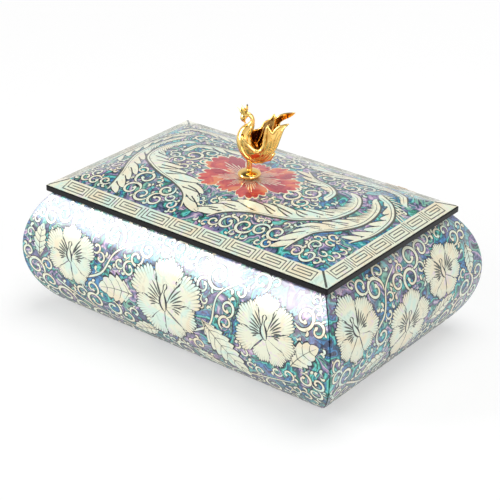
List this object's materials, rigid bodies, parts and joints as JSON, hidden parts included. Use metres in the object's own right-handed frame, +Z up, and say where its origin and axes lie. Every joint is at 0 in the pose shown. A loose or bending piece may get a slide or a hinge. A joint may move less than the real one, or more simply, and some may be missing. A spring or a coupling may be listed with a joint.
{
  "type": "business card holder",
  "caption": "Rectangular card box with swelling inlaid walls, a hinged vaulted lid with a fret border, and a gilt swan knob; a velvet lined compartment holds business cards.",
  "frame": {"origin": "on the surface that the box stands on, under the middle of the box", "axes": "+X along the long front edge to the right, +Y from the front to the hinged back, +Z up"},
  "size_m": [0.1448, 0.0958, 0.0859],
  "materials": {
    "black_lacquer": "black lacquer, glossy",
    "abalone_inlay": "abalone shell under clear lacquer, iridescent",
    "pale_shell": "pale mother-of-pearl under clear lacquer, engraved",
    "gilt_brass": "gilt, polished",
    "hinge_brass": "brass, satin",
    "zinc_steel": "zinc plated",
    "velvet": "wine red velvet",
    "felt": "black felt"
  },
  "bodies": {
    "case": {"front_wall": "black_lacquer", "back_wall": "black_lacquer", "left_wall": "black_lacquer", "right_wall": "black_lacquer", "base_board": "black_lacquer", "base_felt": "felt", "front_pearl_sheet": "abalone_inlay", "back_pearl_sheet": "abalone_inlay", "left_pearl_sheet": "abalone_inlay", "right_pearl_sheet": "abalone_inlay", "front_lining": "velvet", "back_lining": "velvet", "left_lining": "velvet", "right_lining": "velvet", "floor_pad": "velvet", "left_case_leaf": "hinge_brass", "right_case_leaf": "hinge_brass", "left_hinge_pin": "hinge_brass", "right_hinge_pin": "hinge_brass", "case_leaf_screws": "hinge_brass"},
    "lid": {"lid_board": "black_lacquer", "lid_pearl_field": "abalone_inlay", "front_fret_strip": "pale_shell", "back_fret_strip": "pale_shell", "left_fret_strip": "pale_shell", "right_fret_strip": "pale_shell", "lid_pad": "velvet", "left_lid_leaf": "hinge_brass", "right_lid_leaf": "hinge_brass", "lid_leaf_screws": "hinge_brass", "knob_foot": "gilt_brass", "swan_body": "gilt_brass", "swan_left_wing": "gilt_brass", "swan_right_wing": "gilt_brass", "swan_crown": "gilt_brass", "knob_screw": "zinc_steel", "knob_washer": "zinc_steel"}
  },
  "joints": [
    {"name": "lid_hinge", "type": "hinge", "parent": "case", "child": "lid", "pos_m": [0, 0.04205, 0.04815], "axis": [-1, 0, 0], "range_deg": [0, 100]}
  ]
}
